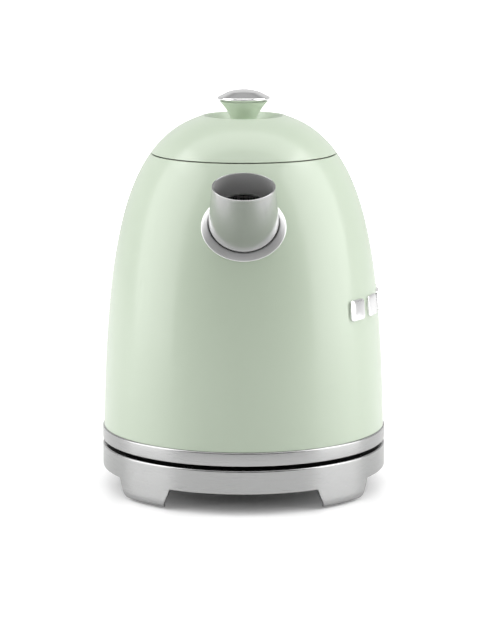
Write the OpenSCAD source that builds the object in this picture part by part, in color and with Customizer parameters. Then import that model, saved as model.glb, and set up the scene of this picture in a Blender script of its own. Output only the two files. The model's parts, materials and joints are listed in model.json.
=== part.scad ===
// Domed cordless kettle on a separate turning power base.
// Millimetres. Z is up and the floor is z = 0. The kettle's round axis is x = y = 0.
// The spout points along -Y, the handle along +Y and the raised bars are on the +X side.

/* [Dome] */
// Radius the dome wall tends to near the bottom
dome_r = 86.3; // [85.8:0.1:86.6]
// Height at which the dome curve would close over the axis
dome_top = 226.6; // [226.2:0.1:227]
// How fast the dome wall straightens below the top, per mm
dome_rate = 0.0163; // [0.0158:0.0001:0.0168]
// Sheet thickness of the painted shell and lid
wall = 1.4; // [1.2:0.1:1.5]
// Height of the lid's seam
seam_z = 202; // [201.8:0.1:202.2]

/* [Metal rings] */
// Outer radius of the base ring and of the kettle's bottom ring
ring_r = 85.5; // [85.3:0.1:86]
// Height of the top of the base ring
base_top = 26.6; // [26.4:0.1:26.7]
// Height of the bottom of the kettle on its base
kettle_bottom = 29; // [28.9:0.1:29.1]
// Height of the top of the kettle's bottom ring
trim_top = 37.4; // [37.2:0.1:37.6]
// Height of the arches between the base's feet
arch_z = 12.5; // [12.2:0.1:12.8]

/* [Spout] */
// Radius of the spout's round mouth
mouth_r = 18; // [17.4:0.1:18.4]
// How far the mouth's centre stands in front of the axis
mouth_y = 100; // [98:0.5:101]
// Height of the mouth's centre
mouth_z = 194.3; // [192.5:0.1:195.5]
// How far the mouth faces upward, in degrees above level
mouth_tilt = 71.5; // [66:0.5:74]

/* [Knob] */
// Radius of the knob's stem at its foot
stem_r = 7.3; // [7:0.1:7.6]
// Radius of the knob's metal cap
cap_r = 15.9; // [15.7:0.1:16.2]
// Height of the top of the cap
cap_top = 239.6; // [239.4:0.1:240]

/* [Handle] */
// Width of the handle across X
handle_w = 26; // [24:1:28]
// Depth of the handle's section
handle_d = 12; // [11:0.5:12.5]

/* [Raised bars] */
// Width of one bar along the body
bar_w = 14.8; // [13:0.2:15.4]
// Height of one bar
bar_h = 12.3; // [10:0.1:14]

/* [Hidden] */
$fn = 96;
dome_power = 0.4;
shell_top = seam_z - 0.5;
seat_top = shell_top - 0.9;
wall_tilt = 16;                   // how far the wall under the spout faces upward
spout_root = [0, -70.7, 169];
flange_centre = [0, -71.7, 166.3];
hinge_y = 60;
hinge_z = 205;
lever_y = 90;
lever_z = 59;
rod_z = 46;
plate_z = 54;
cap_z = cap_top - 5;
cord_r = 3.2;                     // clear bore of the cord's gland
gland_hole_r = 4;
gland_z = 20.1;
screw_ring_r = 68;                // where the bottom cover's three screws stand
steam_y = 56;                     // where the steam tube stands behind the axis
bar_z = 114.2;                    // height of the middle of the raised bars

function dome(z) = dome_r * pow(1 - exp(-dome_rate * (dome_top - z)), dome_power);
function slope(z) = (dome(z + 0.2) - dome(z - 0.2)) / 0.4;
function inner(z, t) = dome(z) - t * sqrt(1 + slope(z) * slope(z));
function bezier(p, t) = pow(1 - t, 3) * p[0] + 3 * pow(1 - t, 2) * t * p[1] + 3 * (1 - t) * t * t * p[2] + t * t * t * p[3];
function unit(v) = v / norm(v);
function bez_dir(p, t) = unit(bezier(p, min(1, t + 0.01)) - bezier(p, max(0, t - 0.01)));
function side(d) = [-d[1], d[0]];
function oval(a, b) = [for (i = [0:5:355]) [a * cos(i), b * sin(i)]];

upper = [[60, 182], [86, 196], [111, 194], [111, 162]];
lower = [[111, 162], [111, 128], [106, 92], [79, 72]];
mid_line = concat([for (t = [0:0.1:0.9]) [bezier(upper, t), bez_dir(upper, t)]],
                  [for (t = [0:0.1:1]) [bezier(lower, t), bez_dir(lower, t)]]);

// Outline of a strip along the handle's line, from depth a to depth b across it.
// Depth runs from the finger side (0) to the outer side (handle_d).
function strip(a, b) = concat(
    [for (p = mid_line) p[0] + side(p[1]) * (a - handle_d / 2)],
    [for (i = [len(mid_line) - 1:-1:0]) mid_line[i][0] + side(mid_line[i][1]) * (b - handle_d / 2)]);

// ---------- shared shapes ----------

// Solid of revolution under the dome curve, moved outward by t and running from z0 to z1.
module dome_solid(t, z0, z1) {
    n = 44;
    rotate_extrude()
        polygon(concat([[0, z0]], [for (i = [0:n]) let (z = z0 + (z1 - z0) * i / n) [inner(z, -t), z]], [[0, z1]]));
}

// Annular ring between two radii.
module tube(r_in, r_out, z0, z1) {
    rotate_extrude()
        polygon([[r_in, z0], [r_out, z0], [r_out, z1], [r_in, z1]]);
}

// Level rod along X through a point of the YZ plane.
module rod_x(y, z, r, len) {
    translate([0, y, z])
        rotate([0, 90, 0])
            cylinder(r = r, h = len, center = true);
}

// Plate of an outline drawn in the YZ plane, centred on x = 0.
module side_plate(outline, width) {
    rotate([90, 0, 90])
        linear_extrude(width, center = true)
            polygon(outline);
}

// Level arch-shaped channels that leave four feet under the base.
module foot_channels(grow) {
    for (turn = [0, 90])
        rotate([90, 0, turn])
            linear_extrude(220, center = true)
                polygon([[-48.4 - grow, -1], [48.4 + grow, -1], [43.9 + grow, arch_z - 1.6],
                    [42.6 + grow, arch_z + grow], [-42.6 - grow, arch_z + grow], [-43.9 - grow, arch_z - 1.6]]);
}

// Places children on a foot's diagonal at radius r.
module at_feet(r) {
    for (turn = [45:90:315])
        rotate([0, 0, turn])
            translate([r, 0, 0])
                children();
}

// Places children at the two screws in the handle's finger side.
module at_handle_screws() {
    for (p = [[96, 98], [104, 172]])
        translate([0, p[0], p[1]])
            rotate([90, 0, 0])
                children();
}

// Oval column square to the wall under the spout, centred on c.
module wall_column(c, a, b, back, front) {
    translate(c)
        rotate([90 - wall_tilt, 0, 0])
            translate([0, 0, -back])
                linear_extrude(back + front)
                    polygon(oval(a, b));
}

// Solid that runs from an oval in the wall to the round mouth.
module spout_body(a, b, r, back, front) {
    hull() {
        translate(spout_root)
            rotate([90 - wall_tilt, 0, 0])
                translate([0, 0, -back])
                    linear_extrude(0.2)
                        polygon(oval(a, b));
        translate([0, -mouth_y, mouth_z])
            rotate([90 - mouth_tilt, 0, 0])
                translate([0, 0, front - 0.2])
                    cylinder(r = r, h = 0.2, $fn = 72);
    }
}

// Outside of the spout's tube, carried on into the wall.
module spout_outside() {
    spout_body(21.5, 18, mouth_r, 8, 0);
}

// Inside of the spout's tube, which also cuts the hole in the wall.
module spout_bore() {
    spout_body(20.6, 17.1, mouth_r - 0.8, 9, 1);
}

// ---------- power base ----------

module base_ring() {
    color("silver")
        difference() {
            rotate_extrude()
                polygon([[80, 1], [81.8, 1], [83.4, 1.5], [84.6, 2.6], [ring_r - 0.2, 4.2], [ring_r, 6],
                    [ring_r, base_top - 0.8], [ring_r - 0.8, base_top], [81, base_top], [81, base_top - 1.2],
                    [83.9, base_top - 1.2], [83.9, 7], [83.6, 5.4], [82.4, 3.4], [80, 2.5]]);
            foot_channels(0);
            translate([0, 84, gland_z])
                rotate([90, 0, 0])
                    cylinder(r = gland_hole_r, h = 8, center = true);
        }
}

module base_chassis() {
    color("dimgray")
        difference() {
            union() {
                tube(0, 83.8, arch_z, arch_z + 2);
                tube(81.8, 83.8, arch_z, base_top - 1.3);
                difference() {
                    union() {
                        tube(60, 79.9, 1, 8);
                        tube(60, 83.8, 7.1, arch_z + 1);
                    }
                    foot_channels(0.4);
                }
                at_feet(50)
                    cylinder(r = 5, h = 17, $fn = 48);
            }
            translate([0, 0, -1])
                cube([96.8, 96.8, 2 * (arch_z + 1)], center = true);
            at_feet(50)
                cylinder(r = 3.1, h = 15, $fn = 48);
            at_feet(50)
                cylinder(r = 1.6, h = 18, $fn = 32);
            at_feet(75.6)
                cylinder(r = 4.5, h = 2.6, $fn = 48);
            translate([0, 84, gland_z])
                rotate([90, 0, 0])
                    cylinder(r = gland_hole_r, h = 8, center = true);
        }
}

module base_deck() {
    color([0.05, 0.05, 0.05])
        difference() {
            union() {
                rotate_extrude()
                    polygon([[17.6, 24.6], [80.9, 24.6], [80.9, base_top - 0.2], [74, base_top - 0.2], [72, 28.6],
                        [60, 28.6], [57, 26.4], [24, 26.4], [21, 28], [17.6, 28]]);
                at_feet(50)
                    translate([0, 0, 17.1])
                        cylinder(r = 3.6, h = 8, $fn = 48);
            }
            at_feet(50)
                translate([0, 0, 17])
                    cylinder(r = 1.45, h = 7, $fn = 32);
        }
}

module base_socket() {
    color([0.1, 0.1, 0.1])
        rotate_extrude()
            polygon([[4.8, 22], [20, 22], [20, 24.5], [17.5, 24.5], [16.5, 26], [16.5, 40.2], [15.7, 41], [14, 41],
                [14, 30], [12.2, 30], [12.2, 41], [10.9, 41], [10.9, 30], [9, 30], [9, 41], [4.8, 41]]);
}

module socket_contacts() {
    color("goldenrod") {
        tube(4.2, 4.8, 27, 40.5);
        tube(10.3, 10.9, 30, 40.5);
        tube(13.5, 14, 30, 40.5);
    }
}

module cord_gland() {
    color([0.08, 0.08, 0.08])
        translate([0, 0, gland_z])
            rotate([-90, 0, 0])
                rotate_extrude()
                    polygon([[cord_r, 78.5], [4.4, 78.5], [4.4, 81.4], [3.9, 81.4], [3.9, 85.7], [5.6, 85.7], [5.2, 88.4],
                        [cord_r, 88.4]]);
}

module rubber_feet() {
    color([0.15, 0.15, 0.15])
        at_feet(75.6)
            cylinder(r = 4.4, h = 2.5, $fn = 48);
}

module base_screws() {
    color("gray")
        at_feet(50) {
            translate([0, 0, 13.6])
                cylinder(r = 2.8, h = 1.4, $fn = 32);
            translate([0, 0, 14.9])
                cylinder(r = 1.4, h = 8.6, $fn = 32);
        }
}

// ---------- centre pin: what the kettle lifts off with and turns about ----------

module centre_pin() {
    color("goldenrod")
        rotate_extrude()
            polygon([[0, 30.4], [2.8, 30.4], [3.6, 31.6], [3.6, 47.4], [6.4, 47.4], [6.4, 49.4], [0, 49.4]]);
}

// ---------- kettle body ----------

module body_shell() {
    n = 40;
    color([0.72, 0.78, 0.69])
        difference() {
            rotate_extrude()
                polygon(concat(
                    [for (i = [0:n]) let (z = trim_top + (shell_top - trim_top) * i / n) [dome(z), z]],
                    [for (i = [n:-1:0]) let (z = trim_top + (shell_top - trim_top) * i / n) [inner(z, wall), z]]));
            spout_bore();
            translate([0, 84, rod_z])
                rotate([90, 0, 0])
                    cylinder(r = 2.2, h = 10, center = true, $fn = 32);
        }
}

module lid_seat_ring() {
    color([0.12, 0.12, 0.12])
        rotate_extrude()
            polygon([[47, 192], [48.4, 192], [48.4, seat_top - 2], [inner(seat_top - 2, wall) - 0.1, seat_top - 2],
                [inner(seat_top, wall) - 0.1, seat_top], [47, seat_top]]);
}

module bottom_trim_ring() {
    color("silver")
        rotate_extrude()
            polygon([[82.9, kettle_bottom], [ring_r - 0.6, kettle_bottom], [ring_r, kettle_bottom + 0.6],
                [ring_r, trim_top - 0.8], [ring_r - 0.7, trim_top - 0.1], [83, trim_top - 0.1], [83, 43.5], [81.6, 43.5],
                [81.6, 33], [82.9, 33]]);
}

module bottom_cover() {
    color([0.06, 0.06, 0.06])
        difference() {
            union() {
                tube(18.4, 82.8, kettle_bottom, kettle_bottom + 2);
                tube(79.6, 81.5, kettle_bottom + 1, 40);
                for (y = [36, 64])
                    translate([-3.5, y - 1.5, kettle_bottom + 1])
                        cube([7, 3, 20]);
                for (turn = [30, 150, 270])
                    rotate([0, 0, turn])
                        translate([screw_ring_r, 0, kettle_bottom + 1])
                            cylinder(r = 4, h = 9, $fn = 48);
            }
            translate([0, 50, rod_z])
                rotate([90, 0, 0])
                    cylinder(r = 1.46, h = 60, center = true, $fn = 48);
            for (turn = [30, 150, 270])
                rotate([0, 0, turn])
                    translate([screw_ring_r, 0, kettle_bottom - 1]) {
                        cylinder(r = 3.1, h = 3.2, $fn = 48);
                        cylinder(r = 1.6, h = 20, $fn = 32);
                    }
        }
}

module cover_screws() {
    color("gray")
        for (turn = [30, 150, 270])
            rotate([0, 0, turn])
                translate([screw_ring_r, 0, kettle_bottom + 0.5]) {
                    cylinder(r = 2.9, h = 1.6, $fn = 32);
                    cylinder(r = 1.45, h = 14, $fn = 32);
                }
}

module control_housing() {
    color([0.85, 0.85, 0.82])
        difference() {
            union() {
                tube(0, 26, 31.2, 51.4);
                tube(0, 30, 31.2, 33.2);
            }
            translate([0, 0, 30])
                cylinder(r = 17.6, h = 13);
            translate([0, 0, 40])
                cylinder(r = 3.65, h = 9);
            translate([0, 0, 47])
                cylinder(r = 6.9, h = 2.8);
        }
}

module kettle_contacts() {
    color("goldenrod") {
        tube(9.4, 9.9, 32, 42.9);
        tube(12.6, 13.1, 32, 42.9);
    }
}

module heater_plate() {
    color([0.75, 0.75, 0.75])
        difference() {
            union() {
                tube(0, 80, plate_z, plate_z + 1);
                tube(79, 80, plate_z, plate_z + 6);
            }
            translate([0, steam_y, plate_z - 1])
                cylinder(r = 5.4, h = 4, $fn = 48);
        }
}

module plate_seal() {
    color([0.8, 0.75, 0.7])
        rotate_extrude()
            polygon([[80.1, plate_z], [inner(plate_z, wall) - 0.1, plate_z], [inner(plate_z + 8, wall) - 0.1, plate_z + 8],
                [78.9, plate_z + 8], [78.9, plate_z + 6.1], [80.1, plate_z + 6.1]]);
}

module heat_diffuser() {
    color([0.7, 0.7, 0.72])
        tube(0, 49.2, plate_z - 1.6, plate_z - 0.1);
}

module heating_element() {
    color([0.5, 0.5, 0.5])
        rotate([0, 0, 120])
            rotate_extrude(angle = 300)
                translate([42, plate_z - 5.1])
                    circle(r = 3.4, $fn = 48);
}

module element_terminals() {
    color("goldenrod")
        for (s = [-1, 1])
            translate([s * 21.6, 38.6, 37])
                cylinder(r = 1.5, h = 8.4, $fn = 32);
}

module bimetal_discs() {
    color([0.6, 0.55, 0.45])
        for (s = [-1, 1])
            translate([s * 15, -6, 51.5])
                cylinder(r = 7.5, h = 0.7, $fn = 64);
}

module steam_tube() {
    color([0.85, 0.85, 0.85])
        translate([0, steam_y, 0])
            tube(2.8, 4, 50, 184);
}

module tube_grommet() {
    color([0.2, 0.2, 0.2])
        translate([0, steam_y, 0])
            rotate_extrude()
                polygon([[4.05, 52.6], [6.4, 52.6], [6.4, 53.9], [5.3, 53.9], [5.3, 55.1], [6.4, 55.1], [6.4, 56.4], [4.05, 56.4]]);
}

module spout() {
    color([0.65, 0.65, 0.65])
        difference() {
            spout_outside();
            spout_bore();
            dome_solid(0, 100, 215);
        }
}

module spout_flange() {
    color([0.7, 0.7, 0.7])
        difference() {
            intersection() {
                dome_solid(1.2, 130, 205);
                wall_column(flange_centre, 24.4, 19.4, 12, 12);
            }
            dome_solid(0, 100, 215);
            spout_outside();
        }
}

module filter_clips() {
    color([0.15, 0.15, 0.15])
        intersection() {
            dome_solid(-wall - 0.1, 120, 198);
            for (s = [-1, 1])
                translate([s * 20.9, 0, 0]) {
                    translate([0, -64, 168])
                        cube([2, 28, 36], center = true);
                    translate([-s * 1.6, -56, 168])
                        cube([4, 2, 36], center = true);
                }
        }
}

module filter_frame() {
    color([0.12, 0.12, 0.12])
        difference() {
            translate([0, -52.6, 168])
                cube([38.8, 3, 36], center = true);
            translate([0, -52.6, 168])
                cube([33, 4, 30], center = true);
            translate([0, -52.6, 168])
                cube([34.4, 0.8, 31.4], center = true);
        }
}

module filter_mesh() {
    color([0.6, 0.6, 0.6])
        union() {
            for (x = [-15:3:15])
                translate([x, -52.6, 168])
                    cube([0.6, 0.5, 31.2], center = true);
            for (z = [-14:2.8:14])
                translate([0, -52.6, 168 + z])
                    cube([34.2, 0.5, 0.6], center = true);
        }
}

// ---------- handle, switch and lid hinge ----------

module handle_shell() {
    color([0.72, 0.78, 0.69])
        difference() {
            intersection() {
                side_plate(strip(3.1, handle_d), handle_w);
                translate([0, 130, 0])
                    rotate([90, 0, 0])
                        linear_extrude(100)
                            polygon([[-handle_w / 2, 0], [handle_w / 2, 0], [handle_w / 2, 186], [handle_w / 2 - 3, 196],
                                [-handle_w / 2 + 3, 196], [-handle_w / 2, 186]]);
            }
            side_plate(strip(2, handle_d - 2.4), handle_w - 5);
            dome_solid(0.05, 30, 201);
        }
}

module handle_inner_cover() {
    color([0.1, 0.1, 0.1])
        difference() {
            side_plate(strip(0, 3), handle_w);
            dome_solid(0.05, 30, 201);
            at_handle_screws()
                cylinder(r = 2.3, h = 30, center = true, $fn = 32);
        }
}

module handle_screws() {
    color("gray")
        intersection() {
            side_plate(strip(0.6, 7), handle_w);
            at_handle_screws()
                cylinder(r = 2.2, h = 30, center = true, $fn = 32);
        }
}

module switch_housing() {
    color([0.1, 0.1, 0.1])
        difference() {
            translate([0, 87, 57])
                cube([22, 14, 17], center = true);
            translate([0, 92, 54])
                cube([16.8, 13, 20], center = true);
            translate([0, 86, 46])
                cube([8, 20, 8], center = true);
            rod_x(lever_y, lever_z, 1.2, 30);
            dome_solid(0.05, 30, 120);
        }
}

module lever_pin() {
    color("gray")
        rod_x(lever_y, lever_z, 1.19, 21.6);
}

module switch_lever() {
    color([0.55, 0.08, 0.06])
        difference() {
            union() {
                rod_x(lever_y, lever_z, 2.8, 16);
                translate([-8, lever_y, lever_z - 1.4])
                    cube([16, 16, 2.8]);
                translate([-2.5, lever_y - 1.4, lever_z - 14])
                    cube([5, 2.8, 14]);
            }
            rod_x(lever_y, lever_z, 1.25, 30);
        }
}

module trip_rod() {
    color([0.5, 0.5, 0.5])
        translate([0, 88.2, rod_z])
            rotate([90, 0, 0])
                cylinder(r = 1.4, h = 58, $fn = 48);
}

module hinge_bracket() {
    color([0.6, 0.6, 0.6])
        difference() {
            union() {
                for (s = [-1, 1])
                    translate([s * 9.9, 0, 0]) {
                        rod_x(hinge_y, hinge_z, 3.6, 4);
                        translate([0, hinge_y, hinge_z - 5.5])
                            cube([4, 7.2, 11], center = true);
                    }
                translate([0, hinge_y + 2, 197])
                    cube([23.8, 3.2, 5], center = true);
            }
            rod_x(hinge_y, hinge_z, 1.6, 40);
            dome_solid(0.05, 150, 215);
        }
}

module hinge_pin() {
    color("silver")
        rod_x(hinge_y, hinge_z, 1.59, 24.2);
}

module raised_bars() {
    color([0.85, 0.85, 0.85])
        intersection() {
            dome_solid(1.6, 95, 135);
            difference() {
                tube(70, 95, 95, 135);
                dome_solid(0, 90, 140);
            }
            for (i = [0:3])
                rotate([0, 0, -90 + 55.5 + i * 14.4])
                    translate([60, 0, bar_z])
                        rotate([0, 90, 0])
                            linear_extrude(40)
                                polygon([for (q = [[1, 1], [-1, 1], [-1, -1], [1, -1]]) for (k = [0:15:90])
                                    let (a = k + (q[0] > 0 ? (q[1] > 0 ? 0 : 270) : (q[1] > 0 ? 90 : 180)))
                                    [q[0] * (bar_h / 2 - 2.5) + 2.5 * cos(a), q[1] * (bar_w / 2 - 2.5) + 2.5 * sin(a)]]);
        }
}

// ---------- lid ----------

module lid_cover() {
    n = 14;
    color([0.72, 0.78, 0.69])
        rotate_extrude()
            polygon(concat(
                [for (i = [0:n]) let (z = seam_z + (222.6 - seam_z) * i / n) [dome(z), z]],
                [[26.4, 223.4], [24.6, 223.8], [23, 223.5], [21.2, 222.3], [18, 219.6], [14, 217.7], [9, 217],
                    [5, 217], [5, 215.6], [9, 215.6], [14.5, 216.3], [18.8, 218.3], [21.6, 220.5]],
                [for (i = [n - 3:-1:0]) let (z = seam_z + (222.6 - seam_z) * i / n) [inner(z, wall), z]]));
}

module lid_inner_plate() {
    color([0.7, 0.7, 0.7])
        rotate_extrude()
            polygon([[0, 194], [44, 194], [44, 203.1], [inner(203.1, wall) - 0.1, 203.1], [inner(204.3, wall) - 0.1, 204.3],
                [42.8, 204.3], [42.8, 195.2], [0, 195.2]]);
}

module lid_seal() {
    color([0.85, 0.82, 0.78])
        tube(44.1, inner(203, wall) - 0.3, 201, 203);
}

module lid_hinge_arm() {
    color([0.6, 0.6, 0.6])
        difference() {
            union() {
                rod_x(hinge_y, hinge_z, 3.6, 15);
                translate([-7, 46, 203.3])
                    cube([14, 14, 3.4]);
            }
            rod_x(hinge_y, hinge_z, 1.65, 40);
            dome_solid(0.02, 190, 218);
        }
}

module lid_knob() {
    color([0.72, 0.78, 0.69])
        rotate_extrude()
            polygon([[0, 217.1], [stem_r + 1.2, 217.1], [stem_r + 0.2, 218.2], [stem_r, 219.6], [stem_r + 0.3, 221.4],
                [stem_r + 1.2, 224], [stem_r + 2.6, 226.4], [10.9, 228], [11.7, 229.2], [12.6, 230.4], [13.5, 231.6],
                [14.6, cap_z - 1.9], [0, cap_z - 1.9]]);
}

module knob_cap() {
    color([0.85, 0.85, 0.85])
        rotate_extrude()
            polygon([[0, cap_z - 1.8], [14.7, cap_z - 1.8], [cap_r - 0.2, cap_z - 0.4], [cap_r, cap_z],
                [cap_r - 0.2, cap_z + 0.7], [15, cap_z + 1.4], [9.6, cap_z + 3.5], [8, cap_z + 3.9], [5.9, cap_z + 4.4],
                [3, cap_z + 4.85], [0, cap_top]]);
}

module knob_screw() {
    color("gray")
        rotate_extrude()
            polygon([[0, 212.8], [3.6, 212.8], [4, 213.4], [4, 215.4], [2, 215.5], [2, 216.9], [0, 216.9]]);
}

base_ring();
base_chassis();
base_deck();
base_socket();
socket_contacts();
cord_gland();
rubber_feet();
base_screws();
centre_pin();
body_shell();
lid_seat_ring();
bottom_trim_ring();
bottom_cover();
cover_screws();
control_housing();
kettle_contacts();
heater_plate();
plate_seal();
heat_diffuser();
heating_element();
element_terminals();
bimetal_discs();
steam_tube();
tube_grommet();
spout();
spout_flange();
filter_clips();
filter_frame();
filter_mesh();
handle_shell();
handle_inner_cover();
handle_screws();
switch_housing();
lever_pin();
switch_lever();
trip_rod();
hinge_bracket();
hinge_pin();
raised_bars();
lid_cover();
lid_inner_plate();
lid_seal();
lid_hinge_arm();
lid_knob();
knob_cap();
knob_screw();
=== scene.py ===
"""Domed cordless kettle on a power base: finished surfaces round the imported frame.

Lengths are metres. Z is up, the kettle's round axis is x = y = 0, the spout points
along -Y, the handle along +Y and the raised bars are on the +X side.
"""
import json
import math

import bmesh
import bpy
import numpy as np
from bpy.props import FloatProperty, FloatVectorProperty, IntProperty, PointerProperty
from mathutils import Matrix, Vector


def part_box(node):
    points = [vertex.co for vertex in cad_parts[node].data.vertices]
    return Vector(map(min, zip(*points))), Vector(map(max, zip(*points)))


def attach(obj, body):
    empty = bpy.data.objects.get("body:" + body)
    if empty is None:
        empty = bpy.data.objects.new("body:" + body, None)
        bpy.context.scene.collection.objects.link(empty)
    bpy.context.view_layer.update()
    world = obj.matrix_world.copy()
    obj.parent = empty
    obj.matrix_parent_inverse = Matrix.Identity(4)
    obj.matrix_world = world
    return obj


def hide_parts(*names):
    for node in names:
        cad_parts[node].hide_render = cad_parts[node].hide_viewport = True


bl_info = {
    "name": "Domed kettle",
    "version": (1, 0, 0),
    "blender": (4, 5, 0),
    "location": "View3D > Sidebar > Kettle",
    "description": "Builds the painted, brushed and moulded surfaces of a domed kettle on its power base",
    "category": "Add Mesh",
}

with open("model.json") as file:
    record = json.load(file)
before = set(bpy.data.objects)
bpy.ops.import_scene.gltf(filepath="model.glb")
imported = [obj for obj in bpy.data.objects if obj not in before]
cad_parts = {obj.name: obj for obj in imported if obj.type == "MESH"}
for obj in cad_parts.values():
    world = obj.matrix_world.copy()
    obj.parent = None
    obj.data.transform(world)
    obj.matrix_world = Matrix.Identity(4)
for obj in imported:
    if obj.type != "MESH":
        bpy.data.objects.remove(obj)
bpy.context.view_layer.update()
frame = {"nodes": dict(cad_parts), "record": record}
MM = 0.001

# What the frame says about the round parts
TRIM_LOW, TRIM_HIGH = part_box("bottom_trim_ring")
RING_LOW, RING_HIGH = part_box("base_ring")
SHELL_LOW, SHELL_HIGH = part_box("body_shell")
LID_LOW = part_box("lid_cover")[0]
KNOB_LOW, KNOB_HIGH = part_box("lid_knob")
CAP_LOW, CAP_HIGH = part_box("knob_cap")
BARS_LOW, BARS_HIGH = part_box("raised_bars")
HANDLE_LOW, HANDLE_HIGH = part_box("handle_shell")


# ---------------------------------------------------------------- settings

class KettleSizes(bpy.types.PropertyGroup):
    """Sizes of the dome, spout, knob and handle."""

    dome_radius: FloatProperty(
        name="Dome radius", description="Radius the dome wall tends to near the bottom",
        default=86.3 * MM, subtype="DISTANCE", unit="LENGTH")
    dome_top: FloatProperty(
        name="Dome top", description="Height at which the dome curve would close over the axis",
        default=226.6 * MM, subtype="DISTANCE", unit="LENGTH")
    dome_rate: FloatProperty(
        name="Dome rate", description="How fast the wall straightens below the top, per metre", default=16.3)
    wall: FloatProperty(
        name="Wall", description="Thickness of the painted sheet",
        default=1.4 * MM, subtype="DISTANCE", unit="LENGTH")
    mouth_radius: FloatProperty(
        name="Mouth radius", description="Outer radius of the spout's round mouth",
        default=18.0 * MM, subtype="DISTANCE", unit="LENGTH")
    mouth_tilt: FloatProperty(
        name="Mouth tilt", description="How far the mouth faces upward from level",
        default=math.radians(71.5), subtype="ANGLE", unit="ROTATION")
    stem_radius: FloatProperty(
        name="Stem radius", description="Radius of the knob's stem",
        default=7.3 * MM, subtype="DISTANCE", unit="LENGTH")
    handle_depth: FloatProperty(
        name="Handle depth", description="Depth of the handle's section, front to back",
        default=12.0 * MM, subtype="DISTANCE", unit="LENGTH")
    segments: IntProperty(
        name="Segments", description="Faces round each turned piece", default=256, min=32)


class KettleColours(bpy.types.PropertyGroup):
    """Colours of the finishes, as linear light."""

    paint: FloatVectorProperty(
        name="Enamel", description="Pale green enamel of the body and lid",
        subtype="COLOR", size=3, default=(0.455, 0.53, 0.42))
    brushed: FloatVectorProperty(
        name="Brushed metal", description="Brushed steel of the rings and spout",
        subtype="COLOR", size=3, default=(0.395, 0.395, 0.395))
    polished: FloatVectorProperty(
        name="Polished metal", description="Chrome of the cap, flange and bars",
        subtype="COLOR", size=3, default=(0.93, 0.93, 0.93))
    black: FloatVectorProperty(
        name="Black plastic", description="Moulded plastic of the deck and fittings",
        subtype="COLOR", size=3, default=(0.012, 0.012, 0.012))
    grey: FloatVectorProperty(
        name="Grey plastic", description="Moulded plastic of the base's feet",
        subtype="COLOR", size=3, default=(0.06, 0.06, 0.06))


class KettleStage(bpy.types.PropertyGroup):
    """Strengths of the soft studio light."""

    side_power: FloatProperty(
        name="Side light", description="Power of each side light in watts", default=13.2, unit="POWER")
    top_power: FloatProperty(
        name="Top light", description="Power of each overhead light in watts", default=7.8, unit="POWER")
    sky: FloatProperty(name="Surround", description="Brightness of the studio surround", default=1.0)


def sizes():
    return bpy.context.scene.kettle_sizes


def colours():
    return bpy.context.scene.kettle_colours


# ---------------------------------------------------------------- surfaces

def fillet(corners, radii, steps=8):
    """Closed outline with its corners rounded: each corner becomes an arc that meets both of its sides.

    The arc's centre lies on the corner's bisector, and the arc is swept between its two tangent points.
    """
    corner = np.asarray(corners, float)
    radius = np.broadcast_to(np.asarray(radii, float), len(corner))[:, None]
    back = np.roll(corner, 1, 0) - corner
    ahead = np.roll(corner, -1, 0) - corner
    back_length = np.linalg.norm(back, axis=1, keepdims=True)
    ahead_length = np.linalg.norm(ahead, axis=1, keepdims=True)
    back, ahead = back / back_length, ahead / ahead_length
    half = np.arccos(np.clip((back * ahead).sum(1, keepdims=True), -1, 1)) / 2
    half = np.clip(half, 0.05, math.pi / 2 - 1e-4)
    reach = np.minimum(radius / np.tan(half), 0.48 * np.minimum(back_length, ahead_length))
    radius = reach * np.tan(half)
    bisector = back + ahead
    bisector = bisector / np.maximum(np.linalg.norm(bisector, axis=1, keepdims=True), 1e-9)
    centre = corner + bisector * radius / np.sin(half)
    start, end = corner + back * reach - centre, corner + ahead * reach - centre
    sweep = math.pi - 2 * half
    k = np.linspace(0, 1, steps)[None, :, None]
    sweep = sweep[:, None, :]
    arc = (np.sin((1 - k) * sweep) * start[:, None] + np.sin(k * sweep) * end[:, None]) / np.sin(sweep)
    return (centre[:, None] + arc).reshape(-1, 2)


def rounded_box_outline(width, height, radius, steps=8):
    """Rectangle about the origin with rounded corners."""
    w, h = width / 2, height / 2
    return fillet([(-w, -h), (w, -h), (w, h), (-w, h)], radius, steps)


def revolve(outline, segments):
    """Grid of a turned surface: each outline point (radius, height) is carried round the Z axis."""
    outline = np.asarray(outline, float)
    angle = np.linspace(0, 2 * math.pi, segments, endpoint=False)
    radius, height = outline[:, :1], outline[:, 1:]
    return np.stack([radius * np.sin(angle), -radius * np.cos(angle), height + 0 * angle], -1)


def grid_faces(rows, columns, wrap_rows, wrap_columns):
    """Four-cornered faces between neighbouring points of a grid, as one index array."""
    i = np.arange(rows if wrap_rows else rows - 1)[:, None]
    j = np.arange(columns if wrap_columns else columns - 1)[None, :]
    i_next, j_next = (i + 1) % rows, (j + 1) % columns
    quads = [i * columns + j, i * columns + j_next, i_next * columns + j_next, i_next * columns + j]
    return np.stack(quads, -1).reshape(-1, 4)


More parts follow.
